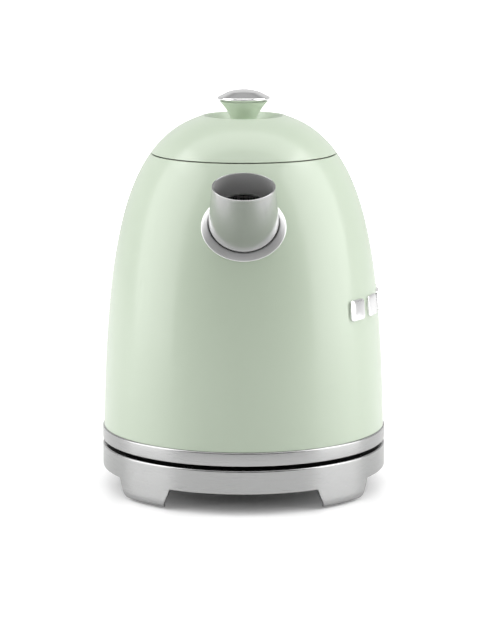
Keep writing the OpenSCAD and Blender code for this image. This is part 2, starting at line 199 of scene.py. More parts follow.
def make_piece(name, parts, body, finish, replaced=(), sharp=40.0, inside=None):
    """One object from (points, faces) parts: doubles merged, faces outwards, edges over `sharp` kept crisp.

    `inside`, when given, is one number per point, kept as an attribute that the finish can read.
    """
    points, faces, offset = [], [], 0
    for part_points, part_faces in parts:
        part_points = np.asarray(part_points, float).reshape(-1, 3)
        points.append(part_points)
        faces += [[int(i) + offset for i in face] for face in part_faces]
        offset += len(part_points)
    mesh = bpy.data.meshes.new(name)
    mesh.from_pydata(np.concatenate(points).tolist(), [], faces)
    if inside is not None:
        marks = mesh.attributes.new("inside", "FLOAT", "POINT")
        marks.data.foreach_set("value", np.ravel(inside).astype(float))
    work = bmesh.new()
    work.from_mesh(mesh)
    bmesh.ops.remove_doubles(work, verts=work.verts, dist=1e-7)
    bmesh.ops.dissolve_degenerate(work, edges=work.edges, dist=1e-8)
    bmesh.ops.recalc_face_normals(work, faces=work.faces)
    work.to_mesh(mesh)
    work.free()
    mesh.shade_smooth()
    mesh.set_sharp_from_angle(angle=math.radians(sharp))
    piece = bpy.data.objects.new(name, mesh)
    bpy.context.scene.collection.objects.link(piece)
    mesh.materials.append(finish)
    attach(piece, body)
    if replaced:
        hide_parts(*replaced)
    return piece


def ring_part(grid):
    """Part whose grid closes both ways, such as a turned ring."""
    rows, columns = grid.shape[:2]
    return grid, grid_faces(rows, columns, True, True)


def sleeve_part(grid):
    """Part whose grid closes round its columns only; its first and last rows may meet on an axis."""
    rows, columns = grid.shape[:2]
    return grid, grid_faces(rows, columns, False, True)


def capped_part(grid):
    """Sleeve with one flat face over each end."""
    rows, columns = grid.shape[:2]
    faces = grid_faces(rows, columns, False, True).tolist()
    faces.append(list(range(columns)))
    faces.append([(rows - 1) * columns + i for i in range(columns)])
    return grid, faces


def slab(outline, width, edge, steps=5):
    """Grid of a plate of the YZ outline, `width` thick along X, with its rims rounded by `edge`.

    Each row is the outline moved inwards along its own normals by the depth of a quarter arc.
    """
    outline = np.asarray(outline, float)
    along = np.roll(outline, -1, 0) - np.roll(outline, 1, 0)
    normal = np.stack([along[:, 1], -along[:, 0]], -1)
    normal /= np.maximum(np.linalg.norm(normal, axis=1, keepdims=True), 1e-9)
    turning = (outline * np.roll(outline, -1, 0)[:, ::-1] * [1, -1]).sum()
    normal *= np.sign(turning)
    arc = np.linspace(0, math.pi / 2, steps)
    depth = np.concatenate([edge * (1 - np.sin(arc)), edge * (1 - np.cos(arc))])
    place = np.concatenate([-width / 2 + edge * (1 - np.cos(arc)), width / 2 - edge * (1 - np.sin(arc))])
    yz = outline[None] - normal[None] * depth[:, None, None]
    x = np.broadcast_to(place[:, None], yz.shape[:2])
    return np.stack([x, yz[..., 0], yz[..., 1]], -1)


# ---------------------------------------------------------------- the dome

def dome_r(z):
    """Radius of the dome's outside at height z: R (1 - exp(-k (top - z))) to the power 0.4."""
    s = sizes()
    below_top = s.dome_top - np.asarray(z, float)
    return s.dome_radius * np.maximum(1 - np.exp(-s.dome_rate * below_top), 1e-6) ** 0.4


def dome_slope(z):
    """How the dome's radius changes with height."""
    step = 0.1 * MM
    return (dome_r(z + step) - dome_r(z - step)) / (2 * step)


def inner_r(z, depth):
    """Radius of a surface `depth` inside the dome, measured square to the wall."""
    return dome_r(z) - depth * np.sqrt(1 + dome_slope(z) ** 2)


def on_dome(angle, z, lift):
    """Points on the dome at an angle from the front towards +X, lifted square to the wall."""
    slope = dome_slope(z)
    size = np.sqrt(1 + slope ** 2)
    r = dome_r(z) + lift / size
    return np.stack([r * np.sin(angle), -r * np.cos(angle), z - lift * slope / size], -1)


def wall_oval(angle, half_width, half_height, centre_z, lift):
    """Oval drawn on the dome's front, half_height measured along the wall."""
    lean = math.cos(math.atan(float(dome_slope(centre_z))))
    z = centre_z + half_height * lean * np.sin(angle)
    x = half_width * np.cos(angle)
    return on_dome(np.arcsin(np.clip(x / dome_r(z), -1, 1)), z, lift)


SPOUT_ROOT_Z = 168.7 * MM
SPOUT_HALF_WIDTH = 20.9 * MM
SPOUT_HALF_HEIGHT = 17.5 * MM
SPOUT_WALL = 0.7 * MM
MOUTH_Y = -100.0 * MM
MOUTH_Z = 194.3 * MM


# ---------------------------------------------------------------- shader maths

class Value:
    """A shader socket that takes part in arithmetic: each operator adds its Math node."""

    def __init__(self, nodes, socket):
        self.nodes, self.socket = nodes, socket

    def _math(self, operation, a, b):
        return self.nodes.add("Math", {"operation": operation}, {0: a, 1: b})

    def __add__(self, other):
        return self._math("ADD", self, other)

    __radd__ = __add__

    def __sub__(self, other):
        return self._math("SUBTRACT", self, other)

    def __rsub__(self, other):
        return self._math("SUBTRACT", other, self)

    def __mul__(self, other):
        return self._math("MULTIPLY", self, other)

    __rmul__ = __mul__


class Nodes:
    """Adds nodes to one material's or world's tree."""

    def __init__(self, tree):
        self.tree = tree

    def add(self, kind, settings=None, values=None, output=0):
        """A node of that type: its settings first, then the values or links of its sockets."""
        node = self.tree.nodes.new("ShaderNode" + kind)
        for key, value in (settings or {}).items():
            if key == "stops":
                ramp = node.color_ramp
                for _ in range(len(value) - len(ramp.elements)):
                    ramp.elements.new(0.5)
                for element, (place, grey) in zip(ramp.elements, value):
                    element.position = place
                    element.color = (grey, grey, grey, 1.0)
            else:
                setattr(node, key, value)
        for key, value in (values or {}).items():
            if isinstance(value, Value):
                self.tree.links.new(value.socket, node.inputs[key])
            else:
                node.inputs[key].default_value = value
        return Value(self, node.outputs[output])

    def place(self):
        """Object coordinates of the surface point."""
        return self.add("TexCoord", output="Object")

    def stretched(self, scale, turn=(0.0, 0.0, 0.0)):
        """Object coordinates turned, then scaled along each axis."""
        turned = self.add("Mapping", {"vector_type": "POINT"}, {"Vector": self.place(), "Rotation": turn})
        return self.add("Mapping", {"vector_type": "POINT"}, {"Vector": turned, "Scale": scale})

    def noise(self, scale, detail=2.0, vector=None):
        values = {"Vector": vector or self.place(), "Scale": scale, "Detail": detail}
        return self.add("TexNoise", None, values, "Fac")

    def bump(self, height, strength, distance):
        return self.add("Bump", None, {"Height": height, "Strength": strength, "Distance": distance})


def finish_of(name, make):
    """The material of that name, made once by its own function."""
    found = bpy.data.materials.get(name)
    if found:
        return found
    material = bpy.data.materials.new(name)
    material.use_nodes = True
    tree = material.node_tree
    tree.nodes.clear()
    nodes = Nodes(tree)
    surface = make(nodes)
    output = tree.nodes.new("ShaderNodeOutputMaterial")
    tree.links.new(surface.socket, output.inputs["Surface"])
    return material


def coloured(rgb):
    return (rgb[0], rgb[1], rgb[2], 1.0)


def enamel(name="enamel", painted_light_gain=1.0):
    """Glossy pale green enamel with the faint waviness of sprayed paint."""
    # a colour gain above 1 is painted light: a lighter copy of the enamel
    def make(nodes):
        wave = nodes.noise(230.0, 1.0)
        return nodes.add("BsdfPrincipled", None, {
            "Base Color": coloured([painted_light_gain * c for c in colours().paint]), "Roughness": 0.36,
            "IOR": 1.5, "Coat Weight": 0.35, "Coat Roughness": 0.12,
            "Normal": nodes.bump(wave, 0.03, 0.0004)})
    return finish_of(name, make)


def brushed(name, turn=(0.0, 0.0, 0.0), across=(60.0, 60.0, 9000.0), roughness=0.26, mark=1.0,
            painted_light_gain=1.0, painted_light_inside=False):
    """Brushed steel: fine hairlines run round the axis, drawn by noise squeezed along it, scaled by `mark`.

    `turn` tips the hairlines over for a leaning piece, and the colour gain multiplies the steel's colour;
    above 1 that is painted light, a lighter copy of the steel. With the last flag set the piece has painted
    light inside, where its `inside` attribute is 1: a lighter, less metallic copy of the steel, so that its
    shaded inside reads brighter.
    """
    def make(nodes):
        hairline = nodes.noise(1.0, 3.0, nodes.stretched(across, turn))
        coarse = nodes.noise(1.0, 2.0, nodes.stretched(tuple(0.3 * c for c in across), turn))
        # a colour gain above 1 is painted light: a lighter copy of the steel
        steel = [painted_light_gain * c for c in colours().brushed]
        colour, metallic = coloured(steel), 1.0
        if painted_light_inside:
            inside = nodes.add("Attribute", {"attribute_name": "inside"}, output="Fac")
            # painted light inside: a lighter, less metallic copy of the steel, so that the shaded inside
            # reads brighter
            lightened_inside_colour = coloured([1.35 * c for c in steel])
            colour = nodes.add("Mix", {"data_type": "RGBA"}, {0: inside, 6: colour, 7: lightened_inside_colour}, 2)
            metallic = 1.0 - inside * 0.8
        return nodes.add("BsdfPrincipled", None, {
            "Base Color": colour, "Metallic": metallic,
            "Roughness": roughness + (hairline - 0.5) * (0.12 * mark) + (coarse - 0.5) * (0.06 * mark),
            "Normal": nodes.bump(hairline, 0.06 * mark, 0.00004)})
    return finish_of(name, make)


def satin():
    """Bright metal with a soft, even sheen."""
    def make(nodes):
        haze = nodes.noise(160.0, 2.0)
        return nodes.add("BsdfPrincipled", None, {
            "Base Color": coloured([0.68 * c for c in colours().polished]), "Metallic": 1.0,
            "Roughness": 0.32 + haze * 0.05})
    return finish_of("satin_metal", make)


def chrome():
    """Polished plated metal."""
    def make(nodes):
        haze = nodes.noise(120.0, 2.0)
        return nodes.add("BsdfPrincipled", None, {
            "Base Color": coloured(colours().polished), "Metallic": 1.0,
            "Roughness": 0.07 + haze * 0.05})
    return finish_of("chrome", make)


def moulded(name, rgb, roughness=0.5, grain=900.0, strength=0.15):
    """Moulded plastic or rubber with a fine grain."""
    def make(nodes):
        speckle = nodes.noise(grain, 2.0)
        return nodes.add("BsdfPrincipled", None, {
            "Base Color": coloured(rgb), "Roughness": roughness + (speckle - 0.5) * 0.1,
            "Normal": nodes.bump(speckle, strength, 0.00005)})
    return finish_of(name, make)


def metal(name, rgb, roughness):
    """Plain metal with a slightly uneven sheen."""
    def make(nodes):
        uneven = nodes.noise(300.0, 3.0)
        return nodes.add("BsdfPrincipled", None, {
            "Base Color": coloured(rgb), "Metallic": 1.0, "Roughness": roughness + (uneven - 0.5) * 0.12})
    return finish_of(name, make)


def black_plastic():
    return moulded("black_plastic", colours().black, 0.42)


def grey_plastic():
    return moulded("grey_plastic", colours().grey, 0.5)


# ---------------------------------------------------------------- operators

class KettleOperator:
    """What every building operator shares."""

    bl_options = {"REGISTER", "UNDO"}

    def execute(self, context):
        self.build(context)
        return {"FINISHED"}


class KETTLE_OT_shell(KettleOperator, bpy.types.Operator):
    """Painted dome with its spout hole, rolled top edge and thin wall"""

    bl_idname = "kettle.shell"
    bl_label = "Painted shell"

    def build(self, context):
        s = sizes()
        rows, columns = 150, s.segments
        lip_height = 0.25 * MM
        z = np.linspace(SHELL_LOW.z, SHELL_HIGH.z - lip_height, rows)
        outer, inside = dome_r(z), inner_r(z, s.wall)
        k = np.linspace(0, math.pi, 9)[1:-1]
        top_mid, top_half = (outer[-1] + inside[-1]) / 2, (outer[-1] - inside[-1]) / 2
        lip = np.stack([top_mid + top_half * np.cos(k), z[-1] + lip_height * np.sin(k)], -1)
        outline = np.concatenate([np.stack([outer, z], -1), lip, np.stack([inside, z], -1)[::-1]])
        grid = revolve(outline, columns)
        # the first and last blocks of rows are the outside and the inside at the same heights
        last = len(outline) - 1
        margin = 0.3 * MM
        half_width, half_height = SPOUT_HALF_WIDTH - margin, SPOUT_HALF_HEIGHT - margin
        lean = math.cos(math.atan(float(dome_slope(SPOUT_ROOT_Z))))

        def oval_place(points):
            """How far each point is from the spout hole's centre, as 1 on its edge."""
            across, up = points[..., 0], (points[..., 2] - SPOUT_ROOT_Z) / lean
            place = np.hypot(across / half_width, up / half_height)
            return np.where(points[..., 1] < 0, place, 9.0)

        place = oval_place(grid[:rows])
        corners = np.stack([place[:-1], place[1:], np.roll(place, -1, 1)[:-1], np.roll(place, -1, 1)[1:]])
        cut = corners.max(0) < 1.06
        touched = np.zeros(place.shape, bool)
        kept = np.zeros(place.shape, bool)
        for down in (0, 1):
            for across in (0, 1):
                touched[down:rows - 1 + down] |= np.roll(cut, across, 1)
                kept[down:rows - 1 + down] |= np.roll(~cut, across, 1)
        rim = touched & kept
        rim[0] = rim[-1] = False
        i, j = np.nonzero(rim)
        pull = 1.0 / place[i, j]
        new_x = grid[i, j, 0] * pull
        new_z = SPOUT_ROOT_Z + (grid[i, j, 2] - SPOUT_ROOT_Z) * pull
        for row, radius in ((i, dome_r(new_z)), (last - i, inner_r(new_z, s.wall))):
            grid[row, j] = np.stack([new_x, -np.sqrt(radius ** 2 - new_x ** 2), new_z], -1)
        faces = grid_faces(len(outline), columns, True, True).reshape(len(outline), columns, 4)
        keep = np.ones(faces.shape[:2], bool)
        ci, cj = np.nonzero(cut)
        keep[ci, cj] = False
        keep[last - 1 - ci, cj] = False
        walls = []
        flat = np.arange(len(outline) * columns).reshape(len(outline), columns)
        level = np.argwhere(cut[1:] != cut[:-1])
        upright = np.argwhere(cut != np.roll(cut, 1, 1))
        for a, b, a2, b2 in (
                (level[:, 0] + 1, level[:, 1], level[:, 0] + 1, (level[:, 1] + 1) % columns),
                (upright[:, 0], upright[:, 1], upright[:, 0] + 1, upright[:, 1])):
            walls.append(np.stack([flat[a, b], flat[a2, b2], flat[last - a2, b2], flat[last - a, b]], -1))
        faces = np.concatenate([faces[keep].reshape(-1, 4), *walls])
        make_piece("painted_shell", [(grid, faces)], "kettle", enamel(), ["body_shell"])


class KETTLE_OT_rings(KettleOperator, bpy.types.Operator):
    """Brushed ring round the kettle's bottom and the seat ring in its neck"""

    bl_idname = "kettle.rings"
    bl_label = "Kettle rings"

    def build(self, context):
        s = sizes()
        low, high, r = TRIM_LOW.z, SHELL_LOW.z - 0.1 * MM, TRIM_HIGH.x
        foot_r, tongue_outer, tongue_inner, step_z = r - 2.6 * MM, r - 2.5 * MM, r - 3.9 * MM, 33 * MM
        outline = fillet(
            [(foot_r, low), (r, low), (r, high), (tongue_outer, high), (tongue_outer, TRIM_HIGH.z),
             (tongue_inner, TRIM_HIGH.z), (tongue_inner, step_z), (foot_r, step_z)],
            np.array([0.2, 0.8, 1.0, 0.05, 0.3, 0.3, 0.1, 0.1]) * MM)
        make_piece("trim_ring", [ring_part(revolve(outline, s.segments))], "kettle",
                   brushed("brushed_rings"), ["bottom_trim_ring"])
        low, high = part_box("lid_seat_ring")
        neck_inner, neck_outer, shelf_z = 47 * MM, 48.4 * MM, high.z - 2 * MM
        outer = float(inner_r(high.z, s.wall)) - 0.1 * MM
        under = float(inner_r(shelf_z, s.wall)) - 0.1 * MM
        outline = fillet(
            [(neck_inner, low.z), (neck_outer, low.z), (neck_outer, shelf_z), (under, shelf_z),
             (outer, high.z), (neck_inner, high.z)],
            np.array([0.4, 0.4, 0.6, 0.1, 0.3, 0.9]) * MM)
        make_piece("neck_seat", [ring_part(revolve(outline, s.segments))], "kettle",
                   black_plastic(), ["lid_seat_ring"])


class KETTLE_OT_spout(KettleOperator, bpy.types.Operator):
    """Brushed conical spout with a rolled rim, and the bright flange round its foot"""

    bl_idname = "kettle.spout"
    bl_label = "Spout"

    def wall_to_mouth(self, angle, along, depth):
        """Straight lines from an oval on the dome to the round mouth, `depth` inside the tube's outside.

        The lines spread a little just above the wall, where the tube is drawn out into its foot.
        """
        s = sizes()
        sunk, flare, flare_end = 1.6 * MM, 0.045, 0.16
        foot = wall_oval(angle, SPOUT_HALF_WIDTH - depth, SPOUT_HALF_HEIGHT - depth, SPOUT_ROOT_Z, -sunk)
        tilt, r = s.mouth_tilt, s.mouth_radius - depth
        mouth = np.stack([r * np.cos(angle), MOUTH_Y + r * np.sin(angle) * math.sin(tilt),
                          MOUTH_Z + r * np.sin(angle) * math.cos(tilt)], -1)
        along = along[:, None, None]
        middle = foot.mean(0)
        spread = 1 + flare * np.clip(1 - along / flare_end, 0, 1) ** 2
        return (middle + (foot - middle) * spread) * (1 - along) + mouth * along

    def build(self, context):
        angle = np.linspace(0, 2 * math.pi, 160, endpoint=False)
        rim_start = 0.985
        along = np.linspace(0, rim_start, 40)
        outer = self.wall_to_mouth(angle, along, 0.0)
        inside = self.wall_to_mouth(angle, along, SPOUT_WALL)[::-1]
        rim = []
        for k in np.linspace(0, math.pi, 9)[1:-1]:
            reach = np.array([rim_start + (1 - rim_start) * math.sin(k)])
            rim.append(self.wall_to_mouth(angle, reach, SPOUT_WALL * (1 - math.cos(k)) / 2)[0])
        grid = np.concatenate([outer, np.array(rim), inside])
        # painted light: the inside rows of the tube get a lighter, less metallic copy of the steel, so that
        # its shaded inside reads brighter
        painted_light_inside = np.zeros(grid.shape[:2])
        painted_light_inside[len(outer) + len(rim):] = 1.0
        lean = (math.radians(-50.0), 0.0, 0.0)
        # painted light: the spout's steel is a copy 1.2 times lighter than the rings' steel
        steel = brushed("brushed_spout_painted_light", lean, roughness=0.20, mark=0.15, painted_light_gain=1.2, painted_light_inside=True)
        make_piece("spout_tube", [ring_part(grid)], "kettle", steel, ["spout"], inside=painted_light_inside)
        section = fillet([(0, -0.5), (0, 1.3), (1, 0.7), (1, -0.5)], [0.02, 0.1, 0.25, 0.02], 7)
        rows = []
        for across, lift in section:
            rows.append(wall_oval(angle, (20.3 + 4.1 * across) * MM, (16.7 + 2.7 * across) * MM,
                                  (168.6 - 2.3 * across) * MM, lift * MM))
        make_piece("spout_collar", [ring_part(np.array(rows))], "kettle", satin(), ["spout_flange"])


class KETTLE_OT_bars(KettleOperator, bpy.types.Operator):
    """Four plain raised bars that follow the dome"""

    bl_idname = "kettle.bars"
    bl_label = "Raised bars"

    def build(self, context):
        width, height, proud = 14.8 * MM, 12.3 * MM, 1.5 * MM
        middle_z = (BARS_LOW.z + BARS_HIGH.z) / 2
        outline = rounded_box_outline(width, height, 2.5 * MM, 10)
        arc = np.linspace(0, math.pi / 2, 6)
        edge = 0.5 * MM
        inset = np.concatenate([[0], edge * (1 - np.cos(arc)), np.linspace(edge, height / 2, 5)[1:]])
        lift = np.concatenate([[-0.4 * MM], proud - edge * (1 - np.sin(arc)), np.full(4, proud)])
        place = outline[None] * (1 - inset[:, None, None] / (height / 2))
        first, spacing = 55.5, 14.4
        parts = []
        for number in range(4):
            angle = math.radians(first + spacing * number) + place[..., 0] / float(dome_r(middle_z))
            grid = on_dome(angle, middle_z + place[..., 1], lift[:, None])
            parts.append(capped_part(grid[:-1]))
        make_piece("raised_bar_row", parts, "kettle", chrome(), ["raised_bars"])


class KETTLE_OT_lid(KettleOperator, bpy.types.Operator):
    """Lid cover with its dished top, inner pan and seal"""

    bl_idname = "kettle.lid"
    bl_label = "Lid"

    def build(self, context):
        s = sizes()
        hem_height = 0.25 * MM
        outside_top, inside_top = 222.9 * MM, 220.0 * MM
        z = np.linspace(LID_LOW.z + hem_height, outside_top, 60)
        outside = np.stack([dome_r(z), z], -1)
        inner_z = np.linspace(inside_top, LID_LOW.z + hem_height, 40)
        inside = np.stack([inner_r(inner_z, s.wall), inner_z], -1)
        dish = fillet([(30, 221.6), (23.9, 224.55), (15.6, 217.0), (5, 217.0), (5, 215.6), (16.0, 215.6),
                       (23.8, 222.4)], [0.1, 2.2, 6.0, 0.1, 0.1, 6.0, 2.0], 12)[12:] * MM
        mid, half = (outside[0, 0] + inside[-1, 0]) / 2, (outside[0, 0] - inside[-1, 0]) / 2
        k = np.linspace(0, math.pi, 9)[1:-1]
        hem = np.stack([mid - half * np.cos(k), z[0] - hem_height * np.sin(k)], -1)
        outline = np.concatenate([outside, dish, inside, hem])
        make_piece("lid_dome", [ring_part(revolve(outline, s.segments))], "lid", enamel(),
                   ["lid_cover"])
        pan_outer, pan_inner = 44 * MM, 42.8 * MM
        floor_low, floor_high = 194 * MM, 195.2 * MM
        edge_low, edge_high = 203.1 * MM, 204.2 * MM
        reach = float(inner_r(edge_low + 0.6 * MM, s.wall)) - 0.3 * MM
        pan = fillet([(0, floor_low), (pan_outer, floor_low), (pan_outer, edge_low), (reach, edge_low),
                      (reach, edge_high), (pan_inner, edge_high), (pan_inner, floor_high), (0, floor_high)],
                     np.array([0, 2.0, 0.1, 0.2, 0.2, 0.3, 1.5, 0]) * MM)[8:-8]
        pan = np.concatenate([[(0, floor_low)], pan, [(0, floor_high)]])
        make_piece("lid_pan", [sleeve_part(revolve(pan, s.segments))], "lid",
                   brushed("spun_steel", across=(70.0, 70.0, 70.0), roughness=0.3), ["lid_inner_plate"])
        low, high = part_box("lid_seal")
        bore = pan_outer + 0.1 * MM
        seal = fillet([(bore, low.z), (high.x, low.z), (high.x, high.z), (bore, high.z)], 0.6 * MM)
        make_piece("lid_gasket", [ring_part(revolve(seal, s.segments))], "lid",
                   moulded("silicone", (0.62, 0.58, 0.54), 0.55), ["lid_seal"])


class KETTLE_OT_knob(KettleOperator, bpy.types.Operator):
    """Painted flared knob under its bright cap"""

    bl_idname = "kettle.knob"
    bl_label = "Lid knob"

    def build(self, context):
        s = sizes()
        k = np.linspace(0, 1, 40)
        foot_z, brim_z = 219.2 * MM, KNOB_HIGH.z
        brim_r, heel_r = 14.6 * MM, 2.1 * MM
        flare_r = s.stem_radius + (brim_r - s.stem_radius) * k ** 1.8
        flare = np.stack([flare_r, foot_z + (brim_z - foot_z) * k], -1)
        turn = np.linspace(0, math.pi / 2, 8)[:-1]
        heel = np.stack([s.stem_radius + heel_r * (1 - np.sin(turn)), foot_z - heel_r * np.cos(turn)], -1)
        outline = np.concatenate([[(0, KNOB_LOW.z)], heel, flare, [(0, brim_z)]])
        # painted light: the stem's enamel is a copy 1.3 times lighter, standing in for light that the cap
        # shades from the stem
        make_piece("knob_stem", [sleeve_part(revolve(outline, 160))], "lid",
                   enamel("knob_enamel_painted_light", 1.3), ["lid_knob"])
        r, low, top = CAP_HIGH.x, CAP_LOW.z, CAP_HIGH.z
        crease_r, crease_z = 9.6 * MM, top - 1.5 * MM
        widest = (r + 0.3 * MM, low + 2.0 * MM)
        side = fillet([(0, low), (brim_r, low), widest, (crease_r, crease_z), (0, crease_z)],
                      np.array([0, 0.15, 1.0, 0, 0]) * MM, 9)[9:27]
        place = np.linspace(1, 0, 24)
        crown = np.stack([crease_r * place, crease_z + (top - crease_z) * (1 - place ** 2)], -1)
        outline = np.concatenate([[(0, low)], side, crown])
        make_piece("knob_top", [sleeve_part(revolve(outline, 160))], "lid", chrome(), ["knob_cap"])


def bezier(points, t):
    """Cubic curve through the first and last of four points, drawn towards the two between."""
    p = np.asarray(points, float) * MM
    t = np.asarray(t, float)[:, None]
    return (1 - t) ** 3 * p[0] + 3 * (1 - t) ** 2 * t * p[1] + 3 * (1 - t) * t ** 2 * p[2] + t ** 3 * p[3]


class KETTLE_OT_handle(KettleOperator, bpy.types.Operator):
    """Bow handle: painted outer shell and black grip strip, both pressed on to the wall"""

    bl_idname = "kettle.handle"
    bl_label = "Handle"

    def bow(self, section):
        """Section (across, depth) carried along the handle's line.

        Points that would lie inside the kettle's wall are moved out on to it.
        """
        upper = [(60, 182), (86, 196), (111, 194), (111, 162)]
        lower = [(111, 162), (111, 128), (106, 92), (79, 72)]
        top, bottom = bezier(upper, np.linspace(0, 1, 60)), bezier(lower, np.linspace(0, 1, 90))
        line = np.concatenate([top[:-1], bottom])
        along = np.gradient(line, axis=0)
        along /= np.linalg.norm(along, axis=1, keepdims=True)
        outward = np.stack([-along[:, 1], along[:, 0]], -1)
        depth = section[:, 1] - sizes().handle_depth / 2
        yz = line[:, None] + outward[:, None] * depth[None, :, None]
        x = np.broadcast_to(section[:, 0], yz.shape[:2])
        grid = np.stack([x, yz[..., 0], yz[..., 1]], -1)
        pressed_in = 0.4 * MM
        wall_r = dome_r(grid[..., 2]) - pressed_in
        push = np.maximum(wall_r / np.hypot(grid[..., 0], grid[..., 1]), 1)
        grid[..., 0] *= push
        grid[..., 1] *= push
        return grid

    def build(self, context):
        s = sizes()
        half = (HANDLE_HIGH.x - HANDLE_LOW.x) / 2
        depth = s.handle_depth
        section = fillet([(-half, 3.1 * MM), (half, 3.1 * MM), (half, depth), (-half, depth)],
                         np.array([0.5, 0.5, 5.0, 5.0]) * MM, 12)
        make_piece("handle_bow", [capped_part(self.bow(section))], "kettle", enamel(),
                   ["handle_shell"])
        half -= 0.3 * MM
        section = fillet([(-half, 0), (half, 0), (half, 3.0 * MM), (-half, 3.0 * MM)],
                         np.array([2.4, 2.4, 0.2, 0.2]) * MM, 10)
        make_piece("grip_strip", [capped_part(self.bow(section))], "kettle", black_plastic(),
                   ["handle_inner_cover"])


class KETTLE_OT_base(KettleOperator, bpy.types.Operator):
    """Brushed base skirt with its four arches cut through, curled in at the feet"""

    bl_idname = "kettle.base"
    bl_label = "Base skirt"

    def lower_edge(self, angle):
        """Height of the skirt's lower edge: arch height between the feet, floor clearance at the feet.

        Across each foot's side the edge climbs in a straight slope, eased at the top by a smooth step.
        """
        foot_z, arch_z = RING_LOW.z, 12.5 * MM
        off = np.abs((angle + math.pi / 4) % (math.pi / 2) - math.pi / 4)
        half_chord = RING_HIGH.x * np.sin(off)
        foot_line, arch_line = 48.1 * MM, 43.2 * MM
        k = np.clip((foot_line - half_chord) / (foot_line - arch_line), 0, 1)
        k = np.where(k > 0.75, 0.75 + 0.25 * np.sin(np.clip((k - 0.75) / 0.25, 0, 1) * math.pi / 2), k)
        return foot_z + (arch_z - foot_z) * k

    def build(self, context):
        spans = ((0, 28, 24), (28, 35.5, 60), (35.5, 45, 12))
        step = np.concatenate([np.linspace(start, end, count, endpoint=False) for start, end, count in spans])
        one = np.unique(np.round(np.concatenate([step, 90 - step]), 6))
        one = one[one < 90]
        angle = np.radians(np.concatenate([one + 90 * q for q in range(4)]))
        low = self.lower_edge(angle)[None, :]
        top, r, thick = RING_HIGH.z, RING_HIGH.x, 1.6 * MM
        curl_z, curl_r = 6.0 * MM, 4.5 * MM
        lip_inner, lip_thick = 81.0 * MM, 1.2 * MM

        def outside(z):
            """Skirt's outer radius: straight, then an elliptic curl below curl_z."""
            k = np.clip((curl_z - z) / (curl_z - RING_LOW.z), 0, 1)
            return r - curl_r * (1 - np.sqrt(np.maximum(1 - k ** 2, 0.0))) * 0.9

        up = np.linspace(0, 1, 40)[:, None]
        edge = 0.5 * MM
        shoulder = 1.0 * MM
        body_top = top - shoulder
        z_out = low + edge + (body_top - low - edge) * up
        outer = outside(z_out)
        k = np.linspace(0, math.pi / 2, 7)[1:, None]
        shoulder_z = body_top + shoulder * np.sin(k) + 0 * low
        shoulder_r = r - shoulder * (1 - np.cos(k)) + 0 * low
        lip_r, lip_z = np.full_like(low, lip_inner), np.full_like(low, top)
        under_z = np.full_like(low, top - lip_thick)
        z_in = z_out[::-1]
        inner = outside(z_in) - thick
        k = np.linspace(0, math.pi, 7)[1:-1, None]
        mid = (outer[0] + inner[-1]) / 2
        half = (outer[0] - inner[-1]) / 2
        hem_r, hem_z = mid[None] - half[None] * np.cos(k), z_out[:1] - edge * np.sin(k)
        radius = np.concatenate([outer, shoulder_r, lip_r, lip_r, inner[1:], hem_r])
        height = np.concatenate([z_out, shoulder_z, lip_z, under_z, z_in[1:], hem_z])
        grid = np.stack([radius * np.sin(angle), -radius * np.cos(angle), height], -1)
        make_piece("base_skirt", [ring_part(grid)], "power_base", brushed("brushed_rings"),
                   ["base_ring"])


class KETTLE_OT_switch(KettleOperator, bpy.types.Operator):
    """Switch lever below the handle: a plate on its pivot and the narrow finger that moves the rod"""

    bl_idname = "kettle.switch"
    bl_label = "Switch"

    def build(self, context):
        pivot = np.array([90.0, 59.0]) * MM
        paddle = fillet([(-2.4, -1.4), (-1.2, -2.4), (1.6, -2.2), (3.4, -1.4), (16, -1.4), (16, 1.4),
                         (3.4, 1.7), (-1.2, 2.5)], [1.2, 1.2, 1.2, 1.2, 1.2, 1.2, 2.0, 2.0], 6)
        finger = fillet([(-1.4, -14), (1.4, -14), (1.4, -1), (-1.4, -1)], [0.6, 0.6, 0.1, 0.1], 6)
        paddle, finger = paddle * MM + pivot, finger * MM + pivot
        parts = [capped_part(slab(paddle, 16 * MM, 0.5 * MM)), capped_part(slab(finger, 5 * MM, 0.4 * MM))]
        make_piece("switch_paddle", parts, "switch",
                   moulded("lever_red", (0.22, 0.02, 0.015), 0.35), ["switch_lever"])


class KETTLE_OT_fittings(KettleOperator, bpy.types.Operator):
    """Finishes of the pieces that keep their own shape"""

    bl_idname = "kettle.fittings"
    bl_label = "Fittings"

    def build(self, context):
        by_slot = {
            "brushed_metal": brushed("brushed_rings"),
            "chrome": chrome(),
            "painted_steel": enamel(),
            "painted_handle": enamel(),
            "steel": metal("satin_steel", (0.55, 0.55, 0.54), 0.3),
            "aluminium": metal("rolled_aluminium", (0.72, 0.72, 0.73), 0.4),
            "element_metal": metal("heat_dulled_metal", (0.30, 0.28, 0.26), 0.5),
            "brass": metal("brass", (0.70, 0.50, 0.20), 0.25),
            "black_plastic": black_plastic(),
            "grey_plastic": grey_plastic(),
            "white_plastic": moulded("white_plastic", (0.72, 0.71, 0.68), 0.5),
            "silicone": moulded("silicone", (0.62, 0.58, 0.54), 0.55),
            "rubber": moulded("rubber", (0.02, 0.02, 0.02), 0.7),
        }
        slots = {entry["node"]: entry["material_slot"] for entry in frame["record"]["subparts"]}
        by_node = {"filter_mesh": metal("woven_wire", (0.10, 0.10, 0.10), 0.5)}
        for name, node in frame["nodes"].items():
            node.data.materials.clear()
            node.data.materials.append(by_node.get(name) or by_slot[slots[name]])


